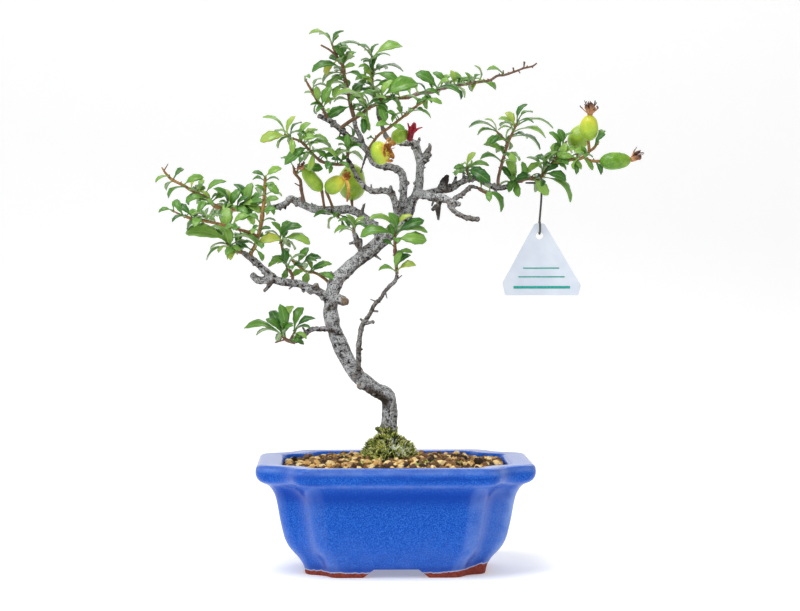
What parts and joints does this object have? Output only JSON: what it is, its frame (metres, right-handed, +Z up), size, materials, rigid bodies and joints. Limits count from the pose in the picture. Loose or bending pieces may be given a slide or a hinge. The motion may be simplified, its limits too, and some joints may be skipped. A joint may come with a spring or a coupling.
{
  "type": "flowering quince bonsai",
  "caption": "Small flowering quince bonsai: bent grey trunk, leafy sprays of spatulate leaves, young fruits with dried petals and a blank hang tag, in a blue glazed pot on corner feet.",
  "frame": {"origin": "bottom centre of the box round the pot and tree, on the surface the pot stands on", "axes": "+Z up; -Y is the front, the side the picture shows; +X to the right seen from the front, the side of the hang tag"},
  "size_m": [0.2816, 0.122, 0.3079],
  "materials": {
    "glaze": "glossy cobalt blue glaze, paler where it breaks over edges; bare red-brown clay under the feet",
    "net": "dark net",
    "granules": "baked clay granules, ochre, brown and near black",
    "moss": "moss cushion, yellow-green with pale lichen",
    "bark": "light grey bark with dark speckles",
    "tag_plastic": "translucent white sheet, blank",
    "tie_coat": "coated wire, dark grey",
    "fruit_skin": "waxy skin, yellow to green",
    "crimson_petal": "dried crimson petals",
    "dried_petal": "dried brown petals",
    "leaf": "glossy leaf, paler below"
  },
  "bodies": {
    "root": {"pot": "glaze", "drain_net_left": "net", "drain_net_right": "net", "soil": "granules", "moss": "moss", "trunk": "bark", "tag": "tag_plastic", "tag_tie": "tie_coat", "fruit_upright": "fruit_skin", "fruit_behind": "fruit_skin", "fruit_level": "fruit_skin", "fruit_open": "fruit_skin", "fruit_short": "fruit_skin", "fruit_long": "fruit_skin", "fruit_pale": "fruit_skin", "fruit_crimson": "fruit_skin", "flower_upright": "dried_petal", "flower_level": "dried_petal", "flower_open": "dried_petal", "flower_short": "dried_petal", "flower_long": "dried_petal", "flower_crimson": "crimson_petal", "spray_upright": "leaf", "spray_left_low": "leaf", "spray_elbow": "leaf", "spray_left_long": "leaf", "spray_elbow_twig": "leaf", "spray_fork_twig": "leaf", "spray_low_left": "leaf", "spray_side": "leaf", "spray_knob": "leaf", "spray_under": "leaf", "spray_red_twig": "leaf", "spray_tip_c": "leaf", "spray_left_upper": "leaf", "spray_apex_left": "leaf", "spray_apex": "leaf", "spray_rosette": "leaf", "spray_crown": "leaf", "spray_long_shoot": "leaf", "spray_cross": "leaf", "spray_right_front": "leaf", "spray_right_cluster": "leaf", "spray_right_upright": "leaf", "spray_right_mid": "leaf", "spray_right_end": "leaf"}
  },
  "joints": []
}
